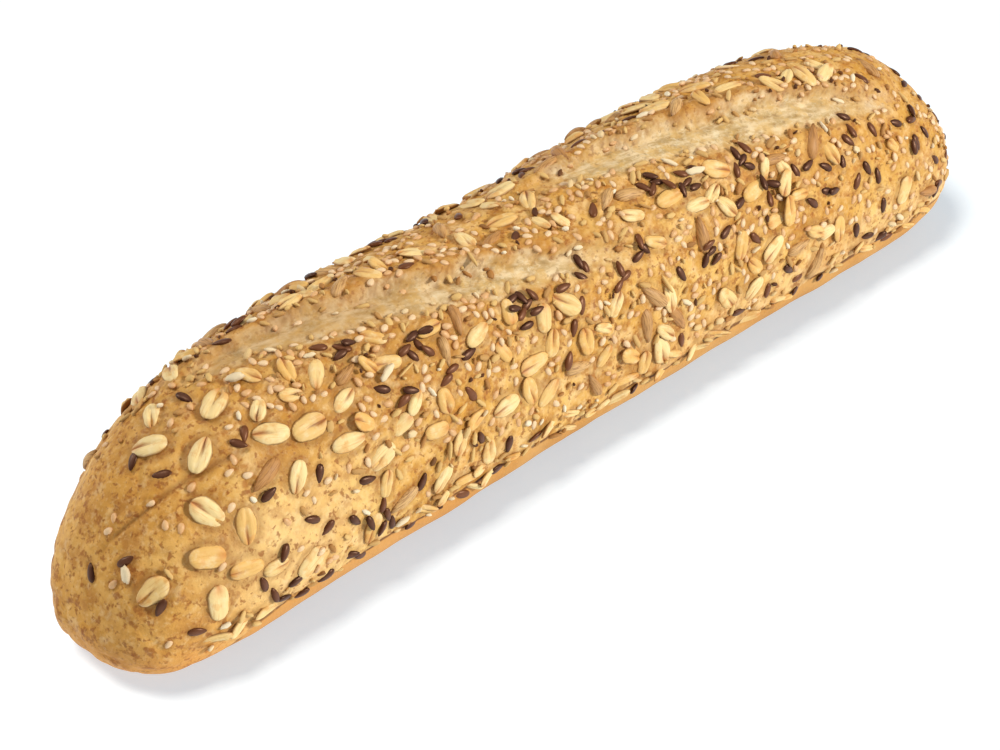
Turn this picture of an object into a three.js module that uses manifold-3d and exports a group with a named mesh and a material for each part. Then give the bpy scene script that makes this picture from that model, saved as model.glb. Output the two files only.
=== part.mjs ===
// Seeded demi baguette: one plump short loaf with two diagonal scores across its crown, a smooth
// bare band round its foot, and rolled oats, sunflower kernels and flax seeds baked into its crust.
// Units are millimetres. +X runs along the loaf, +Z is up, and the loaf rests on Z = 0.

import * as THREE from 'three';
import { mergeVertices } from 'three/addons/utils/BufferGeometryUtils.js';
import Module from 'manifold-3d';

const wasm = await Module();
wasm.setup();

// ---- Driving dimensions: the loaf ----

const LOAF_LENGTH = 270;
const LOAF_WIDTH = 60.5;
const LOAF_HEIGHT = 55.7;
const HALF_LENGTH = LOAF_LENGTH / 2;

// The widest line round the loaf lies low, where the crown turns into the foot.
const BELT_HEIGHT = 14.4;
const BELT_LIFT = 0.065;
const BELT_LIFT_POWER = 8;

// Squareness of the cross-section: 2 is an ellipse, more is squarer.
const CROWN_SQUARENESS = 2.1;
const FOOT_SQUARENESS = 2.6;

// How the ends round off: the higher the power the later, the higher the root the blunter.
const NEAR_SIDE_END = { power: 12.5, root: 2.9 };
const FAR_SIDE_END = { power: 4.85, root: 1.6 };
const FOOT_END = { power: 13.5, root: 2.9 };
const LEFT_CROWN_END = { power: 6, root: 1.22 };
const RIGHT_CROWN_END = { power: 5.9, root: 2.4 };

// The right end is a little wider and lower, and both ends swing a little to the near side.
const WIDTH_TAPER = 0.04;
const HEIGHT_TAPER = -0.027;
const SIDE_SWING = 2.4;
const SWING_MIDDLE = 1 / 3;

// Between the two scores the far side of the crown draws in.
const WAIST_DEPTH = 0.05;
const WAIST_PLACE = -0.07;
const WAIST_SPREAD = 0.2;

// The dough settles on the tray: this much of the foot is flattened.
const SETTLE = 0.6;

// ---- Driving dimensions: the scores ----

// Each score runs from start to end along X, and turns down the near side from one angle to the
// other. Angles go round the section from the far side (0) over the crest (90) to the near side.
const SCORES = [
  { start: -100, end: 23, startAngle: 77, endAngle: 136, halfWidth: 5.6, depth: 2.4 },
  { start: 3, end: 114, startAngle: 83, endAngle: 126, halfWidth: 6.6, depth: 2.6 },
];
const SCORE_STATIONS = 22;
const SCORE_TIP = 0.02;
const SCORE_ROUNDNESS = 0.55;
const CROWN_RADIUS = 32.6;
const CUTTER_CLEARANCE = 5;
const CUTTER_FLARE = 0.8;
const WALL_RUN = 1.3;

// Across the score its floor rises from the foot of the steep far wall to the near edge.
const FLOOR = [
  { across: -0.25, sunk: 0.72 },
  { across: 0.4, sunk: 0.42 },
  { across: 1, sunk: 0.1 },
];

// The crust beyond the score stands up in a soft lip, and the whole crown swells round it.
const LIP_HEIGHT = 1.7;
const LIP_SPREAD = 3.4;
const LIP_SETBACK = 1.8;
const NEAR_LIP_HEIGHT = 0.5;
const NEAR_LIP_SPREAD = 2.6;

// ---- Driving dimensions: the crust's mesh ----

const RINGS = 48;
const CROWN_STEPS = 22;
const FOOT_STEPS = 10;
const SLOPE_STEP = 1e-3;

// Slivers thinner than this, left where a topping meets the crust, are closed up.
const JOIN_TOLERANCE = 0.06;

// ---- Driving dimensions: the toppings ----

const OAT = {
  seed: 4127, count: 82, length: 8.6, width: 6.2, smallest: 0.72, proud: 0.9, sunk: 1.3,
  topShare: 0.74, point: 0.12, sides: 8, spacing: 0.43, rightShare: 0.12,
};
const SUNFLOWER = {
  seed: 9311, count: 22, length: 9.6, width: 4.3, smallest: 0.8, proud: 1.4, sunk: 1.3,
  topShare: 0.5, point: 0.4, sides: 6, spacing: 0.36, rightShare: 0.05,
};
const FLAX = {
  seed: 2203, count: 42, length: 4.7, width: 2.5, smallest: 0.88, proud: 0.95, sunk: 1.1,
  topShare: 0.52, point: 0.35, sides: 5, spacing: 0.52, rightShare: 0.7,
};
const TRIALS_PER_PIECE = 60;

// Toppings stop at a line above the bare band, keep off the scores and thin out at the ends: at the
// right tip each kind to its own rightShare, at the left to the zone's least.
const BAND_TOP = 15.6;
const LAST_TOPPING = 132;
const WIDEST_ANGLE = 86;
const FLANK_SHARE = 0.8;
const SCORE_MARGIN = 2.2;
const LEFT_THIN = { from: -108, to: -66, least: 0.02 };
const FAR_LEFT_THIN = { from: -118, to: -98, least: 0 };
const RIGHT_THIN = { from: 114, to: 70 };
const FAR_SIDE_BELOW = 84;

// Oats that lie singly on the nearly bare left end: place along X, angle, turn on the crust.
const END_OATS = [
  { x: -123, angle: 140, turn: 10 },
  { x: -112, angle: 165, turn: 80 },
  { x: -111, angle: 145, turn: -20 },
  { x: -104, angle: 159, turn: -10 },
  { x: -101, angle: 145, turn: 75 },
  { x: -107, angle: 131, turn: -60 },
  { x: -102, angle: 112, turn: 35 },
  { x: -108, angle: 93, turn: -40 },
  { x: -93, angle: 99, turn: 30 },
  { x: -87, angle: 123, turn: -25 },
  { x: -79, angle: 129, turn: 0 },
  { x: -72, angle: 141, turn: -5 },
];
const END_OAT_SIZE = 0.98;

// ---- Colours and finish ----

const CRUST_COLOUR = 0xd6a45c;
const CRUST_ROUGHNESS = 0.62;

// ---- Small helpers ----

const DEGREE = Math.PI / 180;
const DRAW_MULTIPLIER = 16807;
const DRAW_MODULUS = 2147483647;

function mix(from, to, share) {
  return from + (to - from) * share;
}

function clampShare(value) {
  return Math.min(1, Math.max(0, value));
}

function bell(distance, spread) {
  return Math.exp(-((distance / spread) ** 2));
}

// A seeded draw between 0 and 1: the same seed lays the same toppings every time.
function seededDraw(seed) {
  let state = seed;
  return () => {
    state = (state * DRAW_MULTIPLIER) % DRAW_MODULUS;
    return state / DRAW_MODULUS;
  };
}

// Like a sine or cosine, but squarer the higher the power.
function squared(value, power) {
  return Math.sign(value) * Math.abs(value) ** (2 / power);
}

// The share of full size left at a place along the loaf: 1 at mid-length, 0 at either tip.
function roundOff(place, end) {
  return Math.max(0, 1 - Math.abs(place) ** end.power) ** (1 / end.root);
}

// ---- The loaf's smooth form ----

function waistShare(place, across, upward) {
  const farSide = clampShare(across + Math.max(0, upward));
  return 1 - WAIST_DEPTH * bell(place - WAIST_PLACE, WAIST_SPREAD) * farSide;
}

// A point of the smooth loaf: place runs from -1 to 1 along it, angle goes round its section.
function smoothPoint(place, angle) {
  const power = Math.sin(angle) >= 0 ? CROWN_SQUARENESS : FOOT_SQUARENESS;
  const across = squared(Math.cos(angle), power);
  const upward = squared(Math.sin(angle), power);
  const sideEnd = across < 0 ? NEAR_SIDE_END : FAR_SIDE_END;
  const crownEnd = place < 0 ? LEFT_CROWN_END : RIGHT_CROWN_END;
  const halfWidth = (LOAF_WIDTH / 2) * roundOff(place, sideEnd) * (1 + WIDTH_TAPER * place);
  const belt = BELT_HEIGHT * (1 + BELT_LIFT * Math.abs(place) ** BELT_LIFT_POWER);
  const fullRise = LOAF_HEIGHT * (1 + HEIGHT_TAPER * place) - belt;
  const waist = waistShare(place, across, upward);
  const rise = upward >= 0
    ? fullRise * roundOff(place, crownEnd) * waist
    : belt * roundOff(place, FOOT_END);
  return new THREE.Vector3(
    place * HALF_LENGTH,
    halfWidth * across * waist - SIDE_SWING * (place ** 2 - SWING_MIDDLE),
    belt + rise * upward - SETTLE,
  );
}

// ---- The scores' shape ----

// Where a point of the crust lies against a score: share along it and millimetres across it.
function againstScore(score, x, angle) {
  const along = (x - score.start) / (score.end - score.start);
  const middle = mix(score.startAngle, score.endAngle, along) * DEGREE;
  return { along, across: (angle - middle) * CROWN_RADIUS };
}

// A score is a long pointed oval: nothing at its tips, full in its middle.
function scoreOpening(along) {
  return clampShare(4 * along * (1 - along)) ** SCORE_ROUNDNESS;
}

// How far the crust stands up beside the scores.
function lipHeight(x, angle) {
  let height = 0;
  for (const score of SCORES) {
    const { along, across } = againstScore(score, x, angle);
    const opening = scoreOpening(along);
    const edge = score.halfWidth * opening;
    const farLip = LIP_HEIGHT * bell(across + edge + LIP_SETBACK, LIP_SPREAD);
    const nearLip = NEAR_LIP_HEIGHT * bell(across - edge - LIP_SETBACK, NEAR_LIP_SPREAD);
    height += opening * (farLip + nearLip);
  }
  return height;
}

// The outward normal of the smooth loaf, from two short steps over its surface.
function crustNormal(place, angle) {
  const here = smoothPoint(place, angle);
  const inward = place > 0 ? -SLOPE_STEP : SLOPE_STEP;
  const alongStep = smoothPoint(place + inward, angle).sub(here).multiplyScalar(Math.sign(inward));
  const roundStep = smoothPoint(place, angle + SLOPE_STEP).sub(here);
  return roundStep.cross(alongStep).normalize();
}

// A point of the baked crust, with its lips and its flattened foot.
function crustPoint(place, angle) {
  const point = smoothPoint(place, angle);
  const height = lipHeight(point.x, angle);
  if (height > 0) {
    point.addScaledVector(crustNormal(place, angle), height);
  }
  point.z = Math.max(0, point.z);
  return point;
}

// ---- Closed meshes from rings of points ----

// Joins rings of equally many points, closed at both ends by a fan to the ring's first or only point.
function ringGeometry(rings) {
  const positions = [];
  const starts = [];
  for (const ring of rings) {
    starts.push(positions.length / 3);
    for (const point of ring) {
      positions.push(point.x, point.y, point.z);
    }
  }
  const faces = [];
  for (let i = 0; i + 1 < rings.length; i += 1) {
    joinRings(faces, starts[i], rings[i].length, starts[i + 1], rings[i + 1].length);
  }
  const last = rings.length - 1;
  for (let j = 1; j + 1 < rings[0].length; j += 1) {
    faces.push(starts[0], starts[0] + j + 1, starts[0] + j);
  }
  for (let j = 1; j + 1 < rings[last].length; j += 1) {
    faces.push(starts[last], starts[last] + j, starts[last] + j + 1);
  }
  const geometry = new THREE.BufferGeometry();
  geometry.setAttribute('position', new THREE.Float32BufferAttribute(positions, 3));
  geometry.setIndex(faces);
  return geometry;
}

// One belt of faces between two rings, either of which may be a single point.
function joinRings(faces, first, firstCount, second, secondCount) {
  const count = Math.max(firstCount, secondCount);
  for (let j = 0; j < count; j += 1) {
    const next = (j + 1) % count;
    const a = first + (firstCount === 1 ? 0 : j);
    const b = first + (firstCount === 1 ? 0 : next);
    const c = second + (secondCount === 1 ? 0 : next);
    const d = second + (secondCount === 1 ? 0 : j);
    if (firstCount > 1) {
      faces.push(a, b, c);
    }
    if (secondCount > 1) {
      faces.push(a, c, d);
    }
  }
}

// Angles round one ring, with short steps over the crown and long ones under the foot.
function ringAngles() {
  const angles = [];
  for (let j = 0; j < CROWN_STEPS; j += 1) {
    angles.push(Math.PI * (j / CROWN_STEPS));
  }
  for (let j = 0; j < FOOT_STEPS; j += 1) {
    angles.push(Math.PI * (1 + j / FOOT_STEPS));
  }
  return angles;
}

function crustGeometry() {
  const angles = ringAngles();
  const rings = [];
  for (let i = 0; i <= RINGS; i += 1) {
    const place = Math.sin(mix(-90, 90, i / RINGS) * DEGREE);
    const isTip = i === 0 || i === RINGS;
    const around = isTip ? angles.slice(0, 1) : angles;
    rings.push(around.map((angle) => crustPoint(place, angle)));
  }
  return ringGeometry(rings);
}

// The solid that opens one score: its steep far wall, its rising floor, and clear air above.
function scoreGeometry(score) {
  const rings = [];
  for (let i = 0; i <= SCORE_STATIONS; i += 1) {
    const along = mix(SCORE_TIP, 1 - SCORE_TIP, i / SCORE_STATIONS);
    rings.push(scoreSection(score, along));
  }
  return ringGeometry(rings);
}

function scoreSection(score, along) {
  const opening = scoreOpening(along);
  const edge = score.halfWidth * opening;
  const depth = score.depth * opening;
  const outline = [
    [edge + CUTTER_FLARE, CUTTER_CLEARANCE],
    ...FLOOR.map(({ across, sunk }) => [edge * across, -depth * sunk]).reverse(),
    [-edge + WALL_RUN * opening, -depth],
    [-edge, 0],
    [-edge - CUTTER_FLARE, CUTTER_CLEARANCE],
  ];
  const x = mix(score.start, score.end, along);
  const place = x / HALF_LENGTH;
  const middle = mix(score.startAngle, score.endAngle, along) * DEGREE;
  return outline.map(([across, height]) => {
    const angle = middle + across / CROWN_RADIUS;
    return smoothPoint(place, angle).addScaledVector(crustNormal(place, angle), height);
  });
}

// ---- The toppings ----

// How fully the real loaf is covered by one kind at a point, from 0 to 1.
function coverShare(kind, point, angle) {
  if (point.z < BAND_TOP || Math.abs(point.x) > LAST_TOPPING) {
    return 0;
  }
  for (const score of SCORES) {
    const { along, across } = againstScore(score, point.x, angle);
    const edge = score.halfWidth * scoreOpening(along);
    if (edge > 0 && Math.abs(across) < edge + SCORE_MARGIN) {
      return 0;
    }
  }
  const leftThin = angle < FAR_SIDE_BELOW * DEGREE ? FAR_LEFT_THIN : LEFT_THIN;
  const rightThin = { ...RIGHT_THIN, least: kind.rightShare };
  return thinning(point.x, leftThin) * thinning(point.x, rightThin);
}

function thinning(x, zone) {
  return mix(zone.least, 1, clampShare((x - zone.from) / (zone.to - zone.from)));
}

function isClear(spot, laid) {
  return laid.every((other) => other.centre.distanceTo(spot.centre) > other.reach + spot.reach);
}

function toppingSpot(kind, place, angle, turn, size) {
  return {
    kind,
    turn,
    size,
    centre: crustPoint(place, angle),
    normal: crustNormal(place, angle),
    reach: kind.length * size * kind.spacing,
  };
}

// Spreads draws evenly over the crust, whose flanks are longer for each degree than its crest.
function drawnAngle(share) {
  const side = 2 * share - 1;
  return (90 + Math.sign(side) * WIDEST_ANGLE * Math.abs(side) ** FLANK_SHARE) * DEGREE;
}

// Lays one kind of topping by seeded draws, each clear of all that is already laid.
function scatter(kind, laid) {
  const draw = seededDraw(kind.seed);
  let count = 0;
  for (let trial = 0; trial < kind.count * TRIALS_PER_PIECE && count < kind.count; trial += 1) {
    const place = Math.sin(mix(-90, 90, draw()) * DEGREE);
    const angle = drawnAngle(draw());
    const turn = draw() * Math.PI;
    const size = mix(kind.smallest, 1, draw());
    const spot = toppingSpot(kind, place, angle, turn, size);
    if (draw() < coverShare(kind, spot.centre, angle) && isClear(spot, laid)) {
      laid.push(spot);
      count += 1;
    }
  }
}

function layToppings() {
  const laid = END_OATS.map((oat) => toppingSpot(
    OAT, oat.x / HALF_LENGTH, oat.angle * DEGREE, oat.turn * DEGREE, END_OAT_SIZE,
  ));
  scatter(OAT, laid);
  scatter(SUNFLOWER, laid);
  scatter(FLAX, laid);
  return laid;
}

// One flake or seed, lying in XY with its length along X: a low tapered disc, narrower at one tip.
function pieceGeometry(kind, size) {
  const height = kind.proud + kind.sunk;
  const geometry = new THREE.CylinderGeometry(kind.topShare, 1, height, kind.sides);
  geometry.rotateX(Math.PI / 2);
  geometry.translate(0, 0, kind.proud - height / 2);
  const position = geometry.attributes.position;
  for (let i = 0; i < position.count; i += 1) {
    const x = position.getX(i);
    const y = position.getY(i);
    const narrowing = 1 - kind.point * x;
    position.setXYZ(
      i,
      (x * kind.length * size) / 2,
      (y * kind.width * size * narrowing) / 2,
      position.getZ(i),
    );
  }
  return geometry;
}

// The piece's length lies along the loaf, turned on the crust by its own angle.
function placedPiece(spot) {
  const geometry = pieceGeometry(spot.kind, spot.size);
  const lengthwise = new THREE.Vector3(1, 0, 0).projectOnPlane(spot.normal).normalize();
  lengthwise.applyAxisAngle(spot.normal, spot.turn);
  const sideways = new THREE.Vector3().crossVectors(spot.normal, lengthwise);
  const placing = new THREE.Matrix4().makeBasis(lengthwise, sideways, spot.normal);
  placing.setPosition(spot.centre);
  return geometry.applyMatrix4(placing);
}

// ---- Joining and cutting ----

function toSolid(geometry) {
  const bare = geometry.clone();
  bare.deleteAttribute('normal');
  bare.deleteAttribute('uv');
  const merged = mergeVertices(bare);
  return new wasm.Manifold(new wasm.Mesh({
    numProp: 3,
    vertProperties: new Float32Array(merged.attributes.position.array),
    triVerts: new Uint32Array(merged.index.array),
  }));
}

function toGeometry(solid) {
  const mesh = solid.getMesh();
  const geometry = new THREE.BufferGeometry();
  geometry.setAttribute('position', new THREE.BufferAttribute(mesh.vertProperties, 3));
  geometry.setIndex(new THREE.BufferAttribute(mesh.triVerts, 1));
  geometry.computeVertexNormals();
  return geometry;
}

function loafGeometry() {
  let loaf = toSolid(crustGeometry());
  for (const score of SCORES) {
    loaf = loaf.subtract(toSolid(scoreGeometry(score)));
  }
  for (const spot of layToppings()) {
    loaf = loaf.add(toSolid(placedPiece(spot)));
  }
  return toGeometry(loaf.simplify(JOIN_TOLERANCE));
}

// ---- The finished loaf ----

function buildLoaf() {
  const crust = new THREE.MeshStandardMaterial({
    color: CRUST_COLOUR,
    roughness: CRUST_ROUGHNESS,
    metalness: 0,
  });
  const loaf = new THREE.Mesh(loafGeometry(), crust);
  loaf.name = 'loaf';
  return loaf;
}

const demiBaguette = new THREE.Group();
demiBaguette.add(buildLoaf());

export default demiBaguette;
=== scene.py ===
"""A seeded demi baguette: a golden crust with two pale diagonal scores and a smooth bare foot,
strewn with rolled oats, sunflower kernels, flax, sesame and broken grain.

Sizes are in millimetres until a mesh, light or camera is placed; MM turns them to metres.
"""

import math

import bpy
import numpy as np
from mathutils import Matrix, Vector, noise
from mathutils.kdtree import KDTree


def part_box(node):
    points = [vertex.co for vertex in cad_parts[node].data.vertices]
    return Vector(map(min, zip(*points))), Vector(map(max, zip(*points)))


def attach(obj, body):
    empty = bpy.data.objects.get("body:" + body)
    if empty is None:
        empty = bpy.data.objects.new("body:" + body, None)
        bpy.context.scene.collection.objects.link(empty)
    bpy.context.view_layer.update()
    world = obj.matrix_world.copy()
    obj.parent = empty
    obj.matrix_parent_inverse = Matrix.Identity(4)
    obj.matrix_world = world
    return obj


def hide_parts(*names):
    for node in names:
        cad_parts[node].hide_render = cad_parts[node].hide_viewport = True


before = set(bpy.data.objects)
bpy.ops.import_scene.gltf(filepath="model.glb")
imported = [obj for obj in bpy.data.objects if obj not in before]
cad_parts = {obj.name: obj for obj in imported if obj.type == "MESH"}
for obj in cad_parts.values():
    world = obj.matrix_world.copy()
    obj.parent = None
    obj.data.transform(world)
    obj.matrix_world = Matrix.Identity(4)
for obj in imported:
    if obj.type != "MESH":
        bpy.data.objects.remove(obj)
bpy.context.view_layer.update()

MM = 0.001
DEGREE = math.pi / 180

# ---- The loaf's form: the same driving dimensions as its solid ----

LOAF_LOW, LOAF_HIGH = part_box("loaf")
LOAF_LENGTH = (LOAF_HIGH.x - LOAF_LOW.x) / MM
HALF_LENGTH = LOAF_LENGTH / 2
LOAF_WIDTH = 60.5
LOAF_HEIGHT = 55.7

BELT_HEIGHT = 14.4
BELT_LIFT = 0.065
BELT_LIFT_POWER = 8
CROWN_SQUARENESS = 2.1
FOOT_SQUARENESS = 2.6

# How the ends round off, as (power, root): a higher power is later, a higher root blunter.
NEAR_SIDE_END = (12.5, 2.9)
FAR_SIDE_END = (4.85, 1.6)
FOOT_END = (13.5, 2.9)
LEFT_CROWN_END = (6, 1.22)
RIGHT_CROWN_END = (5.9, 2.4)

WIDTH_TAPER = 0.04
HEIGHT_TAPER = -0.027
SIDE_SWING = 2.4
SWING_MIDDLE = 1 / 3
WAIST_DEPTH = 0.05
WAIST_PLACE = -0.07
WAIST_SPREAD = 0.2
SETTLE = 0.6

# ---- The two scores ----

SCORES = [
    {"start": -100, "end": 23, "angles": (77, 136), "half_width": 5.6, "depth": 2.4},
    {"start": 3, "end": 114, "angles": (83, 126), "half_width": 6.6, "depth": 2.6},
]
SCORE_ROUNDNESS = 0.55
CROWN_RADIUS = 32.6
LIP_HEIGHT = 1.7
LIP_SPREAD = 3.4
LIP_SETBACK = 1.8
NEAR_LIP_HEIGHT = 0.5
NEAR_LIP_SPREAD = 2.6

# The score's floor, as (share of its half width, share of its depth), from far wall to near edge.
FLOOR_PROFILE = [(-1, 0), (-0.72, 1), (-0.25, 0.72), (0.4, 0.42), (0.86, 0.3), (1, 0.12), (1.12, 0)]

# Where the skin tore: shares of the half width on either side, and of the length at either end.
TORN_FAR_SIDE = (-1.3, -0.6)
TORN_NEAR_SIDE = (0.5, 1.25)
TORN_START = (0.0, 0.2)
TORN_END = (0.75, 1.0)
FLOOR_WANDER = 0.5
TORN_WANDER = 1.5
FAR_OFF = 9
NARROWEST = 1e-6

# What toasted beside the scores, and the painted shade along each near edge, as (place, spread, how
# much).
TOASTED_WALL = (-1.05, 0.22, 0.8)
TOASTED_LIP = (-LIP_SETBACK, 3.6, 0.6)
NEAR_EDGE_SHADE = (1.1, 0.1, 0.5)

# The score map holds 100 mm in each unit, and keeps the two scores apart on it.
MAP_UNIT = 100
SCORES_APART = 3
STREAK_LENGTH = 7
STREAK_WIDTH = 2.2
STREAK_HEIGHT = 0.32

# ---- The crust's lumps, each noise as (height, size, where it is read), and its ledge ----

EDGE_WANDER = [(1.4, 9, 3.1), (1.0, 3.4, 8.4)]
BAND_WANDER = [(1.1, 7, 1.7)]
TORN_LUMPS = [(0.3, 2.6, 6.6)]
LUMPS = [(0.55, 21, 5.3), (0.32, 8, 2.9)]
FINE_LUMPS = [(0.17, 3, 7.7)]
WRINKLES = [(1, 7, 4.5)]
WRINKLE_STRETCH = (0.6, 1, 1)
WRINKLE_DEPTH = 0.3
WRINKLE_WIDTH = 0.14

# The lumps fade in over these heights, lose a share near the very top and the fine ones at the foot.
LUMPS_FROM = (0.5, 9)
TOP_SMOOTHED = (50, 55, 0.85)
FOOT_SMOOTHED = 0.8

# The ledge that hangs over the smooth foot, the painted shadow line under it, and how much of each is
# lost towards the left tip.
FOOT_EDGE = (-0.2, 0.5)
LEDGE_HEIGHT = 0.5
LEDGE_RISE = (0, 0.9)
LEFT_LEDGE_LOSS = 0.7
LEFT_RIM_LOSS = 0.6
RIM_REACH = 3

# ---- How the bake differs and where light and shade are painted, each zone fading in from one X to another and one height to another ----

EVERYWHERE = (-1e6, -1e5)
BAKE_AND_LIGHT_ZONES = {
    # The left end's zone: the crust browner there, and on the foot it paints bounce light.
    "baked_and_foot_glow": ((-85, -125), EVERYWHERE),
    "left_half": ((-15, -60), EVERYWHERE),
    # Painted bounce light: a warm glow low on the left tip.
    "left_low_bounce_light": ((-95, -120), (18, 5)),
    # Painted shade: the crust darker towards the right end.
    "right_end_shade": ((78, 122), EVERYWHERE),
    "right_high": ((40, 85), (20, 40)),
    "floury": ((-20, 60), (27, 14)),
}

# The crown baked browner, fading in over these heights and over these shares of its half length.
CROWN_BAKED = (34, 47)
CROWN_ENDS = (1.0, 0.4)

# Low down near its left tip a painted highlight lightens the crust: the patch's middle along X, spread
# and strength.
LEFT_FLANK_HIGHLIGHT = (-92, 20, 1)
FLANK_HIGHLIGHT_BELOW = (44, 30)

# Beyond the right score flour still clings in spots: place along X, angle, spread.
DUSTED_SPOTS = [(80, 110, 3.2), (91, 116, 3.6), (105, 123, 3.2)]
DUSTED_STRETCH = 1.6

# A fold in the skin near the left tip: places along X, the angle at each, and its cross-section.
FOLD_PLACES = (-124, -117, -109, -96)
FOLD_ANGLES = (104, 110, 114, 121)
FOLD_GROOVE = (0, 0.9, 0.8)
FOLD_BULGE = (-2, 2, 0.4)
CREASE_WIDTH = 0.7
FOLD_START = (-4, 4)
FOLD_END = (-4, 6)

# ---- The toppings, biggest first; the first three lie where the solid has them ----

OAT = {
    "seed": 4127, "count": 82, "length": 8.6, "width": 6.2, "smallest": 0.72,
    "proud": 0.95, "spacing": 0.43, "right_share": 0.12,
}
SUNFLOWER = {
    "seed": 9311, "count": 22, "length": 9.6, "width": 4.3, "smallest": 0.8,
    "proud": 1.2, "spacing": 0.36, "right_share": 0.05,
}
FLAX = {
    "seed": 2203, "count": 42, "length": 4.7, "width": 2.5, "smallest": 0.88,
    "proud": 0.58, "spacing": 0.52, "right_share": 0.7,
}
MORE_OATS = {**OAT, "seed": 6011, "count": 95, "smallest": 0.6, "spacing": 0.25, "lean": 0.3}
MORE_SUNFLOWERS = {**SUNFLOWER, "seed": 3119, "count": 30, "smallest": 0.7, "spacing": 0.28}
MORE_FLAX = {
    **FLAX, "seed": 7207, "count": 38, "spacing": 0.32, "lean": 0.2, "margin": -0.3,
    "right_share": 0.1,
}
SESAME = {
    "seed": 5501, "count": 700, "length": 2.7, "width": 2.0, "smallest": 0.75,
    "proud": 0.6, "spacing": 0.35, "margin": -1.8,
}
CHIP = {
    "seed": 8117, "count": 640, "length": 3.4, "width": 1.8, "smallest": 0.35,
    "proud": 0.6, "spacing": 0.3, "lean": 0.45, "margin": -3.2,
}
HUSK = {
    "seed": 1327, "count": 44, "length": 6.5, "width": 1.2, "smallest": 0.6,
    "proud": 0.7, "spacing": 0.25, "lean": 0.4, "margin": -0.5,
}

# Along the rim over the bare foot, pieces lie lengthwise: aim and swing are shares of a half turn.
RIM_LIE = {"aim": 0.0, "swing": 0.3, "lean": 0.5}
RIM_FLAKES = {
    **OAT, **RIM_LIE, "seed": 2741, "count": 60, "width": 3.4, "smallest": 0.5, "spacing": 0.26,
}
RIM_FLAX = {**FLAX, **RIM_LIE, "seed": 4409, "count": 40, "spacing": 0.4}
RIM_CHIPS = {**CHIP, **RIM_LIE, "seed": 6737, "count": 150}

# Bits of broken flax between the seeds, darker than any other chip: tone is from dark to pale.
CRUMB = {
    **CHIP, "seed": 9029, "count": 60, "length": 1.9, "width": 1.1, "smallest": 0.5, "tone": 0.0,
}
TRIALS_PER_PIECE = 60

BAND_TOP = 15.6
BAND_LINE = 12.9
LEFT_BAND_LINE = 4.5
LEFT_BAND_DROP = (-92, -122)
LAST_TOPPING = 132
WIDEST_ANGLE = 86
FLANK_SHARE = 0.8
SCORE_MARGIN = 2.2
LEFT_THIN = (-108, -66, 0.02)
FAR_LEFT_THIN = (-118, -98, 0)
RIGHT_THIN = (114, 70)
RIGHT_SHARE = 0.6
FAR_SIDE_BELOW = 84
RIM_HEIGHTS = (12.0, 17.4)
RIM_SPREAD = 7
RIM_THIN = (8, 50, 0.4)
RIM_END = 116

# Oats that lie singly on the nearly bare left end: place along X, angle, turn on the crust.
END_OATS = [
    (-123, 140, 10), (-112, 165, 80), (-111, 145, -20), (-104, 159, -10),
    (-101, 145, 75), (-107, 131, -60), (-102, 112, 35), (-108, 93, -40),
    (-93, 99, 30), (-87, 123, -25), (-79, 129, 0), (-72, 141, -5),
]
END_OAT_SIZE = 0.98

# Flakes that stayed white: place along X, angle, turn on the crust.
WHITE_FLAKE = {**HUSK, "length": 4.6, "width": 2.3, "tone": 0.9}
WHITE_HUSKS = [(-57, 126, 20), (43, 117, -20), (-63, 178, 15), (-86, 97, -30), (-125, 123, 50)]

# Flax seeds that lie singly on the two ends: place along X, angle, turn on the crust.
SINGLE_FLAX = [
    (-129, 104, 44), (-124, 118, -11), (-123, 149, 49), (-118, 172, -16), (-112, 92, 29),
    (-110, 106, -31), (-101, 169, -81), (-95, 162, 49), (-94, 140, 19), (-93, 175, 9),
    (-86, 158, -31), (59, 134, 79), (71, 136, -81), (75, 136, 14), (80, 140, -41),
    (80, 150, -11), (82, 90, -36), (86, 142, 74), (90, 134, -61), (92, 131, -81),
    (93, 124, -41), (93, 148, -71), (96, 153, 84), (99, 134, -81), (106, 110, -61),
    (108, 135, -31), (111, 148, 84), (116, 132, 59), (118, 144, -71), (118, 174, 44),
    (124, 104, -50), (126, 124, 29),
]

# Sesame seeds that lie singly on the left end: place along X, angle, turn on the crust.
SINGLE_SESAME = [
    (-107, 119, 20), (-115, 110, -30), (-121, 100, 40), (-123, 101, -20), (-115, 122, 60),
    (-113, 128, 50), (-96, 130, -10), (-109, 152, 30), (-86, 170, 15), (-82, 176, -25),
    (-88, 174, 70), (-97, 122, 80), (-99, 125, 10),
]

# Where flax fell in little heaps: place along X, angle, number of seeds.
FLAX_HEAPS = [
    (-47, 124, 6), (-17, 131, 8), (-68, 172, 5), (32, 113, 5), (39, 119, 4), (-62, 110, 2),
    (-54, 137, 2), (-42, 138, 2), (2, 130, 3), (19, 134, 3), (11, 140, 3), (37, 148, 4),
    (56, 122, 4), (-93, 117, 2), (-30, 60, 4), (60, 48, 5),
    (12, 70, 3), (-75, 72, 3), (85, 64, 3), (-10, 20, 4),
]
HEAP_SEED = 1000
HEAP_STEP = 1.25
HEAP_SWING = (0.85, 1.3)
HEAP_STRETCH = 1.3
HEAPED_SIZE = 0.86
SINGLE_SIZE = 0.93
GOLDEN_TURN = 137.5 * DEGREE

# How pieces that overlap prop each other up and lean, and how far one may reach above the solid.
LEAN_SEED = 7919
CLOSEST = 0.1
OWN_LEAN = 0.1
PROPPED_LEAN = 0.55
LIFT_SHARE = 1.25
MOST_LIFT = 1.3
RIDER_SHARE = 0.95
RIDER_OVERLAP = 0.5
HIGHEST = LOAF_HIGH.z / MM + 1.3
FULL_HEIGHT = 1.45
DEEPEST_SINK = -0.5
FREE_HEADROOM = 1.5

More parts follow.
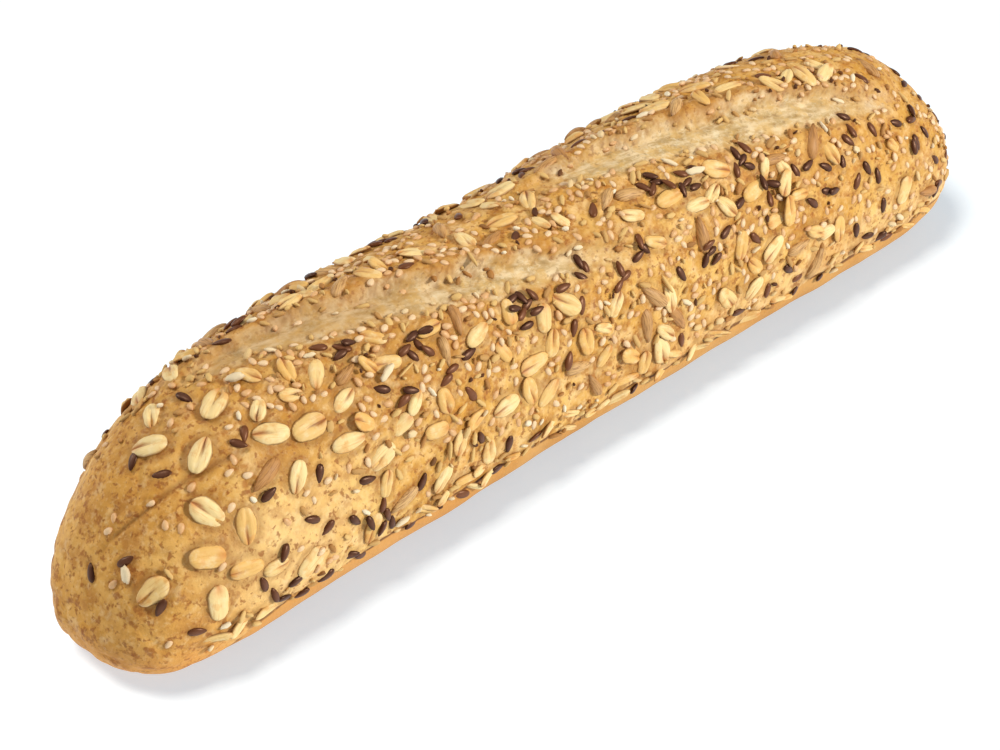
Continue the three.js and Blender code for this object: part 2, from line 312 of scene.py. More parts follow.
# The toppings crowd beside the scores: how far off the edge, spread and strength; the shares of
# the score's length where a crowd starts and ends; and how they gather in clumps.
QUIET_SHARE = 0.26
QUIETEST = 0.35
QUIET_LEFT = (-80, -52)
QUIET_RIGHT = (62, 96)
NEAR_CROWD = (6.0, 8.5, 1)
FAR_CROWD = (-6.0, 6.0, 1)
CROWD_START = (-0.1, 0.12)
NEAR_CROWD_END = (0.5, 0.85)
NEAR_CROWD_LOSS = 0.75
FAR_CROWD_END = (0.7, 1.0)
CLUMPS = [(1.1, 13, 2.7)]
CLUMP_MIDDLE = 0.55
LEAST_CLUMPED = 0.45

# ---- Small helpers ----


def mix(start, end, share):
    return start + (end - start) * share


def clamp_share(value):
    return np.clip(value, 0, 1)


def smooth_step(low, high, value):
    share = clamp_share((value - low) / (high - low))
    return share * share * (3 - 2 * share)


def between(rise, fall, value):
    return smooth_step(*rise, value) * (1 - smooth_step(*fall, value))


def bell(distance, spread):
    return np.exp(-((distance / spread) ** 2))


def banded(distance, band):
    place, spread, strength = band
    return strength * bell(distance - place, spread)


def wave(place, ripple, phase):
    height, count = ripple
    return height * np.sin(count * place + phase)


def unit(vectors):
    return vectors / np.linalg.norm(vectors, axis=-1, keepdims=True)


def seeded_draws(seed, count):
    """Draws between 0 and 1, by the same plain rule as the solid's toppings are laid by."""
    state = seed
    draws = np.empty(count)
    for i in range(count):
        state = (state * 16807) % 2147483647
        draws[i] = state / 2147483647
    return draws


def noise_at(points, size, offset):
    """Smooth noise from -1 to 1 whose lumps are about size millimetres across."""
    scaled = points / size + offset
    return np.array([noise.noise(Vector(row)) for row in scaled])


def rough(points, noises):
    """Noises added up, each given by its height, its size and where it is read."""
    return sum(height * noise_at(points, size, offset) for height, size, offset in noises)


def nearest_among(laid):
    tree = KDTree(len(laid))
    for i, spot in enumerate(laid):
        tree.insert(Vector(spot["centre"]), i)
    tree.balance()
    return tree


def placed(name, data):
    """A new object in the scene, with this mesh, light or camera."""
    piece = bpy.data.objects.new(name, data)
    bpy.context.scene.collection.objects.link(piece)
    return piece


def deselect_all():
    for chosen in list(bpy.context.selected_objects):
        chosen.select_set(False)


# ---- The loaf's smooth form, for arrays of places along it and angles round it ----


def squared(value, power):
    return np.sign(value) * np.abs(value) ** (2 / power)


def round_off(place, end):
    power, root = end
    return np.clip(1 - np.abs(place) ** power, 0, None) ** (1 / root)


def smooth_points(place, angle):
    power = np.where(np.sin(angle) >= 0, CROWN_SQUARENESS, FOOT_SQUARENESS)
    across = squared(np.cos(angle), power)
    upward = squared(np.sin(angle), power)
    side = np.where(across < 0, round_off(place, NEAR_SIDE_END), round_off(place, FAR_SIDE_END))
    crown = np.where(place < 0, round_off(place, LEFT_CROWN_END), round_off(place, RIGHT_CROWN_END))
    half_width = LOAF_WIDTH / 2 * side * (1 + WIDTH_TAPER * place)
    belt = BELT_HEIGHT * (1 + BELT_LIFT * np.abs(place) ** BELT_LIFT_POWER)
    full_rise = LOAF_HEIGHT * (1 + HEIGHT_TAPER * place) - belt
    far_side = clamp_share(across + np.maximum(0, upward))
    waist = 1 - WAIST_DEPTH * bell(place - WAIST_PLACE, WAIST_SPREAD) * far_side
    rise = np.where(upward >= 0, full_rise * crown * waist, belt * round_off(place, FOOT_END))
    return np.stack([
        place * HALF_LENGTH,
        half_width * across * waist - SIDE_SWING * (place**2 - SWING_MIDDLE),
        belt + rise * upward - SETTLE,
    ], axis=-1)


def crust_normals(place, angle):
    step = 1e-3
    here = smooth_points(place, angle)
    inward = np.where(place > 0, -step, step)
    along = (smooth_points(place + inward, angle) - here) * np.sign(inward)[..., None]
    around = smooth_points(place, angle + step) - here
    normals = np.cross(around, along)
    return normals / np.maximum(np.linalg.norm(normals, axis=-1, keepdims=True), 1e-12)


# ---- The scores, against arrays of points ----


def against_scores(x, angle):
    """For each score: how far places lie along and across it, how open it is there, and its edge."""
    for score in SCORES:
        along = (x - score["start"]) / (score["end"] - score["start"])
        across = (angle - mix(*score["angles"], along) * DEGREE) * CROWN_RADIUS
        opening = clamp_share(4 * along * (1 - along)) ** SCORE_ROUNDNESS
        yield score, along, across, opening, score["half_width"] * opening


def lip_height(x, angle):
    height = np.zeros_like(x)
    for _, _, across, opening, edge in against_scores(x, angle):
        height += opening * LIP_HEIGHT * bell(across + edge + LIP_SETBACK, LIP_SPREAD)
        height += opening * NEAR_LIP_HEIGHT * bell(across - edge - LIP_SETBACK, NEAR_LIP_SPREAD)
    return height


def crust_points(place, angle):
    points = smooth_points(place, angle)
    height = lip_height(points[..., 0], angle)
    points = points + crust_normals(place, angle) * height[..., None]
    points[..., 2] = np.maximum(points[..., 2], 0)
    return points


def score_relief(x, angle, points):
    """The scores' valleys, how far each point is torn open, its toasting and painted shade, and its
    place on the score.
    """
    height = np.zeros_like(x)
    cut = np.zeros_like(x)
    toast_and_shade = np.zeros_like(x)
    score_map = np.zeros((len(x), 2))
    nearest = np.full(len(x), np.inf)
    ragged = rough(points, EDGE_WANDER)
    shares, depths = np.array(FLOOR_PROFILE).T
    for number, (score, along, across, opening, edge) in enumerate(against_scores(x, angle)):
        edge = np.maximum(edge, NARROWEST)
        share = np.where(opening > 0, (across + FLOOR_WANDER * ragged) / edge, FAR_OFF)
        height -= score["depth"] * opening * np.interp(share, shares, depths, left=0, right=0)
        torn = np.where(opening > 0, (across + TORN_WANDER * ragged) / edge, FAR_OFF)
        inside = between(TORN_FAR_SIDE, TORN_NEAR_SIDE, torn)
        cut = np.maximum(cut, inside * between(TORN_START, TORN_END, along))
        wall = banded(share, TOASTED_WALL) * opening
        lip = banded(across + edge, TOASTED_LIP) * opening
        # Painted shade along the score's near edge.
        groove = banded(share, NEAR_EDGE_SHADE) * opening
        toast_and_shade = np.maximum(toast_and_shade, np.maximum(wall, np.maximum(lip, groove)))
        closer = np.abs(across) < nearest
        length = score["end"] - score["start"]
        score_map[closer, 0] = along[closer] * length / MAP_UNIT + number * SCORES_APART
        score_map[closer, 1] = across[closer] / MAP_UNIT
        nearest = np.where(closer, np.abs(across), nearest)
    lengthwise, sideways = (score_map * MAP_UNIT / (STREAK_LENGTH, STREAK_WIDTH)).T
    streaks = rough(np.stack([lengthwise, sideways, x * 0], axis=-1), [(STREAK_HEIGHT, 1, 0)])
    height += cut * (streaks + rough(points, TORN_LUMPS))
    return height, cut, toast_and_shade, score_map


def fold_relief(x, angle):
    """The fold's height, and how dark its crease is painted, as painted shade."""
    across = (angle - np.interp(x, FOLD_PLACES, FOLD_ANGLES) * DEGREE) * CROWN_RADIUS
    first, last = FOLD_PLACES[0], FOLD_PLACES[-1]
    present = smooth_step(*FOLD_START, x - first) * (1 - smooth_step(*FOLD_END, x - last))
    height = present * (banded(across, FOLD_BULGE) - banded(across, FOLD_GROOVE))
    return height, present * bell(across, CREASE_WIDTH)


def dusted_share(x, angle):
    """Where flour still clings beyond the end of the right score."""
    share = np.zeros_like(x)
    for spot_x, spot_angle, spread in DUSTED_SPOTS:
        around = (angle - spot_angle * DEGREE) * CROWN_RADIUS
        away = np.hypot((x - spot_x) / DUSTED_STRETCH, around)
        share = np.maximum(share, bell(away, spread))
    return share


def crust_relief(points, angle):
    """The crust's height over its smooth form, and the marks that its colours follow."""
    x, z = points[:, 0], points[:, 2]
    relief, cut, toast_and_shade, score_map = score_relief(x, angle, points)
    dropped = smooth_step(*LEFT_BAND_DROP, x)
    over_line = z - (mix(BAND_LINE, LEFT_BAND_LINE, dropped) + rough(points, BAND_WANDER))
    ledge = LEDGE_HEIGHT * smooth_step(*LEDGE_RISE, over_line) * (1 - LEFT_LEDGE_LOSS * dropped)
    foot = 1 - smooth_step(*FOOT_EDGE, over_line)
    wrinkles = -WRINKLE_DEPTH * bell(rough(points * WRINKLE_STRETCH, WRINKLES), WRINKLE_WIDTH)
    fine = rough(points, FINE_LUMPS) + wrinkles * (1 - cut)
    swell = (rough(points, LUMPS) + fine * (1 - FOOT_SMOOTHED * foot)) * smooth_step(*LUMPS_FROM, z)
    top_from, top_to, top_loss = TOP_SMOOTHED
    swell = np.where(swell > 0, swell * (1 - top_loss * smooth_step(top_from, top_to, z)), swell)
    fold_height, crease = fold_relief(x, angle)
    marks = {
        "cut": cut, "toast_and_shade": toast_and_shade, "foot": foot, "crease": crease,
        "crown": smooth_step(*CROWN_BAKED, z) * smooth_step(*CROWN_ENDS, np.abs(x) / HALF_LENGTH),
        "flank_highlight": banded(x, LEFT_FLANK_HIGHLIGHT) * smooth_step(*FLANK_HIGHLIGHT_BELOW, z),
        "dusted": dusted_share(x, angle),
        "over_foot": np.clip(over_line, -RIM_REACH, RIM_REACH),
        # Strength of the painted shadow line under the ledge, weaker towards the left tip.
        "rim": 1 - LEFT_RIM_LOSS * dropped,
    }
    for name, (along_x, upward) in BAKE_AND_LIGHT_ZONES.items():
        marks[name] = smooth_step(*along_x, x) * smooth_step(*upward, z)
    return relief + ledge + swell + fold_height, marks, score_map


# ---- Where the toppings lie ----


def thinning(x, zone):
    start, end, least = zone
    return mix(least, 1, clamp_share((x - start) / (end - start)))


def cover_share(kind, points, angle):
    """Where toppings lie at all, and how they thin out towards the ends, from 0 to 1."""
    x = points[:, 0]
    is_far = angle < FAR_SIDE_BELOW * DEGREE
    share = np.where(is_far, thinning(x, FAR_LEFT_THIN), thinning(x, LEFT_THIN))
    share = share * thinning(x, (*RIGHT_THIN, kind.get("right_share", RIGHT_SHARE)))
    margin = kind.get("margin", SCORE_MARGIN)
    for _, _, across, _, edge in against_scores(x, angle):
        share[(edge > 0) & (np.abs(across) < edge + margin)] = 0
    share[(points[:, 2] < BAND_TOP) | (np.abs(x) > LAST_TOPPING)] = 0
    return share


def crowded_share(kind, points, angle):
    """How toppings crowd beside the scores and gather in clumps, from 0 to 1."""
    x = points[:, 0]
    crowd = QUIET_SHARE * mix(QUIETEST, 1.0, between(QUIET_LEFT, QUIET_RIGHT, x))
    for _, along, across, _, edge in against_scores(x, angle):
        near = banded(across - edge, NEAR_CROWD) * smooth_step(*CROWD_START, along)
        near = near * (1 - NEAR_CROWD_LOSS * smooth_step(*NEAR_CROWD_END, along))
        far = banded(across + edge, FAR_CROWD) * between(CROWD_START, FAR_CROWD_END, along)
        crowd = np.maximum(crowd, np.maximum(near, far))
    clumps = clamp_share(CLUMP_MIDDLE + rough(points, CLUMPS))
    return cover_share(kind, points, angle) * crowd * mix(LEAST_CLUMPED, 1.0, clumps)


def rim_share(kind, points, angle):
    """Where pieces gather along the rim over the foot, thinly towards the right end."""
    x, _, z = points.T
    within = (z > RIM_HEIGHTS[0]) & (z < RIM_HEIGHTS[1]) & (np.abs(x) < RIM_END)
    start, end, least = RIM_THIN
    return within * mix(1, least, smooth_step(start, end, x))


def drawn_angles(shares):
    """Spreads draws evenly over the crust, whose flanks are longer for each degree than its crest."""
    side = 2 * shares - 1
    return (90 + np.sign(side) * WIDEST_ANGLE * np.abs(side) ** FLANK_SHARE) * DEGREE


def rim_angles(shares):
    """Spreads draws over the two narrow strips where the flanks meet the foot."""
    near = shares >= 0.5
    within = np.where(near, shares * 2 - 1, shares * 2)
    return (np.where(near, 180, 0) + (within * 2 - 1) * RIM_SPREAD) * DEGREE


def spots_at(kind, place, angle, turn, size):
    """One record for each piece: its kind, centre, normal, turn, size and reach."""
    centres = crust_points(place, angle)
    normals = crust_normals(place, angle)
    return [
        {
            "kind": kind, "centre": centre, "normal": normal, "turn": turned, "size": sized,
            "angle": around, "reach": kind["length"] * sized * kind["spacing"],
        }
        for centre, normal, turned, sized, around in zip(centres, normals, turn, size, angle)
    ]


def scatter(kind, laid, share_at=cover_share, angles_at=drawn_angles):
    """Lays one kind by seeded draws, each piece clear of all that is already laid."""
    trials = kind["count"] * TRIALS_PER_PIECE
    draws = seeded_draws(kind["seed"], trials * 5).reshape(trials, 5)
    place = np.sin(mix(-90, 90, draws[:, 0]) * DEGREE)
    angle = angles_at(draws[:, 1])
    kept = draws[:, 4] < share_at(kind, crust_points(place, angle), angle)
    size = mix(kind["smallest"], 1, draws[:, 3])
    turn = (kind.get("aim", 0.5) + (draws[:, 2] - 0.5) * kind.get("swing", 1.0)) * math.pi
    spots = spots_at(kind, place[kept], angle[kept], turn[kept], size[kept])
    lie = np.array([spot["centre"] for spot in laid])
    reach = np.array([spot["reach"] for spot in laid])
    new = []
    for spot in spots:
        if len(new) == kind["count"]:
            break
        gaps = np.linalg.norm(lie - spot["centre"], axis=1)
        if np.all(gaps > reach + spot["reach"]):
            new.append(spot)
            lie = np.vstack([lie, spot["centre"]])
            reach = np.append(reach, spot["reach"])
    laid.extend(new)
    return new


def heap_of_flax(x, angle, count, laid):
    """A few seeds in a tight spiral, all turned their own way."""
    steps = np.arange(count)
    draws = seeded_draws(HEAP_SEED + int(x * 7 + angle), count * 2).reshape(count, 2)
    out = HEAP_STEP * np.sqrt(steps + 0.5) * mix(*HEAP_SWING, draws[:, 0])
    turn = steps * GOLDEN_TURN
    place = (x + HEAP_STRETCH * out * np.cos(turn)) / HALF_LENGTH
    angles = angle * DEGREE + out * np.sin(turn) / CROWN_RADIUS
    heap = spots_at(FLAX, place, angles, draws[:, 1] * math.pi, np.full(count, HEAPED_SIZE))
    laid.extend(heap)
    return heap


def laid_singly(kind, places, size, laid):
    """One spot for each place along X, angle and turn."""
    x, angle, turn = np.array(places, float).T
    sizes = np.full(len(x), size)
    pieces = spots_at(kind, x / HALF_LENGTH, angle * DEGREE, turn * DEGREE, sizes)
    laid.extend(pieces)
    return pieces


def lay_toppings():
    laid = []
    oats = laid_singly(OAT, END_OATS, END_OAT_SIZE, laid)
    oats += scatter(OAT, laid)
    sunflowers = scatter(SUNFLOWER, laid)
    flax = scatter(FLAX, laid)
    flax += laid_singly(FLAX, SINGLE_FLAX, SINGLE_SIZE, laid)
    for heap_x, heap_angle, count in FLAX_HEAPS:
        flax += heap_of_flax(heap_x, heap_angle, count, laid)
    oats += scatter(RIM_FLAKES, laid, rim_share, angles_at=rim_angles)
    flax += scatter(RIM_FLAX, laid, rim_share, angles_at=rim_angles)
    oats += scatter(MORE_OATS, laid, crowded_share)
    sunflowers += scatter(MORE_SUNFLOWERS, laid, crowded_share)
    flax += scatter(MORE_FLAX, laid, crowded_share)
    sesame = laid_singly(SESAME, SINGLE_SESAME, SINGLE_SIZE, laid)
    sesame += scatter(SESAME, laid, crowded_share)
    husks = laid_singly(WHITE_FLAKE, WHITE_HUSKS, 1, laid)
    husks += scatter(HUSK, laid, crowded_share)
    chips = scatter(RIM_CHIPS, laid, rim_share, angles_at=rim_angles)
    chips += scatter(CHIP, laid, crowded_share)
    chips += scatter(CRUMB, laid, crowded_share)
    bed_on_crust(laid)
    rest_on_each_other(laid)
    return {
        "oat_flakes": oats, "sunflower_kernels": sunflowers, "flax_seeds": flax,
        "sesame_seeds": sesame, "grain_husks": husks, "grain_chips": chips,
    }


def bed_on_crust(laid):
    """Raises or lowers each piece onto the crust's lumps and the scores' floors."""
    centres = np.array([spot["centre"] for spot in laid])
    relief, _, _ = crust_relief(centres, np.array([spot["angle"] for spot in laid]))
    for spot, height in zip(laid, relief):
        spot["centre"] = spot["centre"] + spot["normal"] * height


def footprint(spot):
    return (spot["kind"]["length"] + spot["kind"]["width"]) / 4 * spot["size"]


def rest_on_each_other(laid):
    """Props each piece up on those that it overlaps, and leans it a little its own way."""
    tree = nearest_among(laid)
    tilts = seeded_draws(LEAN_SEED, len(laid) * 2).reshape(-1, 2) * 2 - 1
    for i, spot in enumerate(laid):
        lean = np.zeros(3)
        lift = 0
        for _, other_index, distance in tree.find_range(Vector(spot["centre"]), OAT["length"]):
            other = laid[other_index]
            overlap = 1 - distance / (footprint(spot) + footprint(other))
            if other_index >= i or overlap <= 0:
                continue
            away = spot["centre"] - other["centre"]
            lean += away / max(distance, CLOSEST) * overlap
            own_length = spot["kind"]["length"]
            is_on_top = RIDER_SHARE * own_length < min(OAT["length"], other["kind"]["length"])
            climb = min(1, overlap / RIDER_OVERLAP) if is_on_top else overlap
            lift = max(lift, climb * other["kind"]["proud"] * LIFT_SHARE)
        lengthwise, sideways = plane_axes(spot["normal"], spot["turn"])
        own_lean = spot["kind"].get("lean", OWN_LEAN)
        own_way = own_lean * (tilts[i, 0] * lengthwise + tilts[i, 1] * sideways)
        headroom = HIGHEST - spot["centre"][2] - FULL_HEIGHT * spot["kind"]["proud"]
        spot["lift"] = max(DEEPEST_SINK, min(lift, MOST_LIFT, headroom))
        leaning = PROPPED_LEAN * lean + own_way
        spot["up"] = unit(spot["normal"] + leaning * clamp_share(headroom / FREE_HEADROOM))


def plane_axes(normal, turn):
    """A piece's length lies along the loaf, turned on the crust by its own angle."""
    lengthwise = Vector((1, 0, 0))
    upward = Vector(normal)
    lengthwise = (lengthwise - upward * lengthwise.dot(upward)).normalized()
    lengthwise.rotate(Matrix.Rotation(turn, 3, upward))
    return np.array(lengthwise), np.array(upward.cross(lengthwise))


# ---- Materials ----


def colour(hex_text):
    """An sRGB hex colour as linear RGBA."""
    channels = [int(hex_text[i:i + 2], 16) / 255 for i in (0, 2, 4)]
    linear = [c / 12.92 if c <= 0.04045 else ((c + 0.055) / 1.055) ** 2.4 for c in channels]
    return (*linear, 1)


def add(tree, kind, settings=None):
    """Adds a node. A setting is a property's value, a socket's value or what is linked to it."""
    node = tree.nodes.new(kind)
    for name, value in (settings or {}).items():
        if isinstance(value, bpy.types.NodeSocket):
            tree.links.new(value, node.inputs[name])
        elif isinstance(name, str) and name in node.bl_rna.properties:
            setattr(node, name, value)
        else:
            node.inputs[name].default_value = colour(value) if isinstance(value, str) else value
    return node


def start_material(name, patterns):
    """A bare material, its nodes, and its patterns by name. Each is a noise laid on the piece, given
    as how many millimetres across its features are, its detail and its roughness."""
    material = bpy.data.materials.new(name)
    material.use_nodes = True
    tree = material.node_tree
    tree.nodes.clear()
    coords = add(tree, "ShaderNodeTexCoord").outputs["Object"]
    seen = {}
    for pattern, (size, detail, roughness) in patterns.items():
        settings = {"Vector": coords, "Detail": detail, "Roughness": roughness}
        settings["Scale"] = 1 / (size * MM)
        seen[pattern] = add(tree, "ShaderNodeTexNoise", settings).outputs["Fac"]
    return material, tree, seen


def drawn_out(tree, uv_map, stretch, detail):
    """Noise on a piece's own map, stretched to so many lumps for each unit of U and V."""
    own = add(tree, "ShaderNodeUVMap", {"uv_map": uv_map}).outputs["UV"]
    mapping = {"vector_type": "POINT", "Vector": own, "Scale": (*stretch, 1)}
    stretched = add(tree, "ShaderNodeMapping", mapping).outputs["Vector"]
    settings = {"Vector": stretched, "Scale": 1.0, "Detail": detail, "Roughness": 0.6}
    return add(tree, "ShaderNodeTexNoise", settings).outputs["Fac"]


def layered(tree, seen, base, layers):
    """Lays colours over a base one by one, each as (colour, strength, its masks). A mask names one
    of the patterns or of the mesh's marks; with two values it fades in from the first to the second."""
    for tint, share, *masks in layers:
        for mask in masks:
            name, *fade = (mask,) if isinstance(mask, str) else mask
            if name in seen:
                source = seen[name]
            else:
                source = add(tree, "ShaderNodeAttribute", {"attribute_name": name}).outputs["Fac"]
            if fade:
                settings = {"Value": source, "From Min": fade[0], "From Max": fade[1]}
                settings["interpolation_type"] = "SMOOTHSTEP"
                source = add(tree, "ShaderNodeMapRange", settings).outputs["Result"]
            product = {"operation": "MULTIPLY", 0: source, 1: share}
            share = add(tree, "ShaderNodeMath", product).outputs[0]
        mixed = {"blend_type": "MIX", "Fac": share, "Color1": base, "Color2": tint}
        base = add(tree, "ShaderNodeMixRGB", mixed).outputs["Color"]
    return base


def finish_surface(material, base, settings, height=None, height_mm=0):
    """Joins the colour, the settings and the fine relief in the material's surface."""
    tree = material.node_tree
    settings = {"Base Color": base, **settings}
    if height:
        bump = {"Height": height, "Distance": height_mm * MM}
        settings["Normal"] = add(tree, "ShaderNodeBump", bump).outputs["Normal"]
    shader = add(tree, "ShaderNodeBsdfPrincipled", settings)
    add(tree, "ShaderNodeOutputMaterial", {"Surface": shader.outputs["BSDF"]})
    return material


def baked_crust():
    """Baked wheat crust, steamed then dried in the oven: dry and matte, mottled gold to brown, with
    a pale floury skin where it tore open along the scores, and a smooth tan foot."""
    material, tree, seen = start_material("baked_crust", {
        "clouds": (28, 3, 0.55), "mottle": (15, 4, 0.55), "pale": (6.5, 5, 0.7),
        "blotches": (5.5, 3, 0.6), "patches": (4.5, 4, 0.65), "flecks": (2.9, 3, 0.6),
        "freckles": (2.3, 3, 0.6), "specks": (1.5, 2, 0.55), "grain": (1.1, 3, 0.6),
        "fine": (0.5, 3, 0.7),
    })
    seen["streaks"] = drawn_out(tree, "score_map", (13, 36), 5)
    baked_and_foot_glow = add(tree, "ShaderNodeAttribute", {"attribute_name": "baked_and_foot_glow"}).outputs["Fac"]
    palest = {"operation": "SUBTRACT", 0: 0.75, 1: baked_and_foot_glow}
    seen["unbaked"] = add(tree, "ShaderNodeMath", palest).outputs[0]
    golden = layered(tree, seen, "dea64c", [
        ("f0c472", 1, ("mottle", 0.35, 0.66)),
        ("d08c37", 0.5, ("clouds", 0.48, 0.7)),
        ("d48e32", 0.48, "baked_and_foot_glow"),
        ("c98c38", 0.3, "crown"),
        ("b47a30", 0.5, "left_half", "crown"),
        # Painted shade: the crust darker towards the right end.
        ("c99c4a", 0.5, "right_end_shade"),
        ("c78a36", 0.9, ("patches", 0.45, 0.66)),
        ("f4ce92", 1, ("pale", 0.46, 0.7), "unbaked"),
        ("ad6a20", 0.68, ("blotches", 0.44, 0.72), "baked_and_foot_glow"),
        ("f2cc94", 0.45, "floury"),
        ("cf9238", 0.4, "right_high"),
        ("b46e26", 0.72, ("freckles", 0.5, 0.7)),
        # Painted highlight: the crust lighter low down near the left tip.
        ("ffd692", 0.55, "flank_highlight"),
        ("f8d8a2", 0.35, ("flecks", 0.54, 0.72)),
        ("f4d090", 0.35, ("grain", 0.5, 0.74)),
        ("94501a", 0.7, ("specks", 0.57, 0.68)),
        # Painted bounce light: a warm glow low on the left tip.
        ("f0a048", 0.5, "left_low_bounce_light"),
        ("945218", 0.5, ("freckles", 0.56, 0.66), "baked_and_foot_glow"),
    ])
    torn = layered(tree, seen, "be9e6a", [
        ("ecd2a6", 1, ("streaks", 0.38, 0.62)),
        ("dcb064", 0.65, ("patches", 0.44, 0.62)),
        ("eee0be", 0.7, ("pale", 0.56, 0.68)),
        ("b98d52", 0.45, ("freckles", 0.5, 0.7)),
        ("efdfba", 0.35, ("grain", 0.48, 0.7)),
        ("8d6336", 0.4, ("specks", 0.58, 0.68)),
        ("b48446", 0.42, "left_half"),
    ])
    smooth_foot = layered(tree, seen, "cb8f45", [
        ("d59e57", 1, ("mottle", 0.35, 0.65)),
        # Painted bounce light: the foot warmer and lighter towards the left tip.
        ("e69c50", 0.3, "left_half"),
        ("eaa452", 0.7, "baked_and_foot_glow"),
    ])
    ledge_shadow_line = [("over_foot", -0.85, -0.15), ("over_foot", 0.85, 0.15)]
    surface = layered(tree, seen, golden, [
        (smooth_foot, 1, "foot"),
        ("ecdcbc", 0.75, "dusted", ("patches", 0.36, 0.58)),
        # Painted shadow: a dark broken line under the ledge over the smooth foot.
        ("6b3d18", 0.9, *ledge_shadow_line, ("blotches", 0.38, 0.48), "rim"),
        # Painted shade in the fold's crease.
        ("8a5424", 0.6, "crease"),
        # Toasting on the scores' walls and far lips, with painted shade along their near edges.
        ("b4732e", 0.75, "toast_and_shade", ("mottle", 0.3, 0.6)),
        (torn, 1, "cut"),
        # Painted contact shadow: the crust darker right round each topping.
        ("96602a", 0.5, "bed"),
    ])
    height = layered(tree, seen, seen["grain"], [
        (seen["fine"], 0.4), (seen["freckles"], 0.35), (seen["streaks"], 0.6, "cut"),
    ])
    settings = {"Roughness": 0.6, "IOR": 1.45, "Specular IOR Level": 0.3}
    return finish_surface(material, surface, settings, height, height_mm=0.45)


def rolled_oat():
    """Steamed and rolled oat, toasted on the loaf: matte cream, its crease and germ tip browner, and
    its rim darker, partly toasted and partly painted shade where it meets the crust."""
    material, tree, seen = start_material("rolled_oat", {
        "clouds": (2.2, 3, 0.55), "toasted": (3.4, 3, 0.55), "fine": (0.45, 2, 0.55),
    })
    seen["fibres"] = drawn_out(tree, "length_map", (2, 12), 3)
    base = layered(tree, seen, "e9b96a", [
        ("f6d898", 1, ("tone", 0.1, 0.9)),
        ("fae4b6", 0.45, ("clouds", 0.48, 0.72)),
        ("e09c46", 0.6, ("toasted", 0.52, 0.7)),
        ("cf9148", 0.42, ("fibres", 0.5, 0.7)),
        ("cc7f33", 0.85, "tip"),
        ("9a5824", 0.9, ("groove", 0.25, 0.95)),
        # The rim: darker partly as toasting and partly as painted shade where the flake meets the
        # crust.
        ("8f5a28", 0.85, "rim"),
    ])
    settings = {"Roughness": 0.5, "IOR": 1.47, "Specular IOR Level": 0.4}
    return finish_surface(material, base, settings, seen["fine"], height_mm=0.07)


def flax_coat():
    """Whole brown flax: a hard, slippery seed coat, dark reddish chocolate with a warm sheen and a
    painted highlight along its crest.
    """
    material, tree, seen = start_material("flax_coat", {"clouds": (1.0, 2, 0.55)})
    base = layered(tree, seen, "36160a", [
        ("683a1e", 1, ("tone", 0.3, 1.0)),
        ("6c3f24", 0.3, ("clouds", 0.5, 0.75)),
        # Painted highlight along the seed's crest.
        ("a0705a", 0.35, "crest"),
    ])
    settings = {
        "Roughness": 0.36, "IOR": 1.48, "Specular IOR Level": 0.5, "Specular Tint": "ffcba8",
    }
    return finish_surface(material, base, settings, seen["clouds"], height_mm=0.03)


def sesame_hull():
    """Hulled sesame, lightly toasted: waxy pale cream to pinkish tan."""
    material, tree, seen = start_material("sesame_hull", {"fine": (0.6, 2, 0.55)})
    base = layered(tree, seen, "dfad76", [
        ("eecca0", 1, ("tone", 0.15, 0.85)),
        ("c98a52", 0.6, "tip"),
        # The underside: darker partly as toasting and partly as painted shade where the seed sits in
        # the crust.
        ("b0743c", 0.6, "rim"),
    ])
    settings = {"Roughness": 0.42, "IOR": 1.47, "Specular IOR Level": 0.45}
    return finish_surface(material, base, settings, seen["fine"], height_mm=0.03)


def sunflower_skin():
    """Shelled sunflower kernel, toasted: greyish tan skin with fine darker streaks down its length."""
    material, tree, seen = start_material("sunflower_skin", {})
    seen["streaks"] = drawn_out(tree, "length_map", (2.5, 16), 3)
    base = layered(tree, seen, "c0884c", [
        ("dcb074", 1, "tone"),
        ("93602f", 0.75, ("streaks", 0.45, 0.62)),
        ("75461f", 0.6, "tip"),
    ])
    settings = {"Roughness": 0.48, "IOR": 1.47, "Specular IOR Level": 0.4}
    return finish_surface(material, base, settings, seen["streaks"], height_mm=0.1)


def broken_grain():
    """Chips of oat, bran and hull that fall between the seeds: dry, from near white to tan."""
    material, tree, seen = start_material("broken_grain", {"fine": (0.5, 3, 0.55)})
    base = layered(tree, seen, "b07a40", [
        ("e0b874", 1, ("tone", 0.05, 0.5)),
        ("f4e4c4", 1, ("tone", 0.72, 1.0)),
        ("54301a", 1, ("tone", 0.04, 0.01)),
        # The underside: darker partly as toasting and partly as painted shade where the chip sits in
        # the crust.
        ("8f5a28", 0.6, "rim"),
    ])
    settings = {"Roughness": 0.62, "IOR": 1.45, "Specular IOR Level": 0.3}
    return finish_surface(material, base, settings, seen["fine"], height_mm=0.08)


def pale_table():
    """White acrylic lit from below, as packshots are taken on: only a soft shadow shows on it."""
    material, tree, seen = start_material("pale_table", {"clouds": (90, 1, 0.55)})
    base = layered(tree, seen, "cdcdcd", [("d2d2d2", 1, "clouds")])
    settings = {
        "Roughness": 0.8, "Specular IOR Level": 0.1,
        "Emission Color": TABLE_TINT, "Emission Strength": TABLE_GLOW,
    }
    return finish_surface(material, base, settings)


# ---- The crust ----

CRUST_COLUMNS = 256
CRUST_RINGS = 380
CROWN_CROWDING = 0.45
CROWDED_ANGLE = 120
MIDDLE_CROWDING = 0.2
TOPPINGS_NEAR = 3

# The crust by how far out it lies on the nearest topping, 1 at its rim: place, spread, strength.
# BED_SHADE darkens the crust right round each topping: painted contact shadow.
BED_SHADE = (1.05, 0.3, 1)
BED_RISE = (0, 1.0, 0.2)
BED_GROOVE = (1.15, 0.22, 0.22)


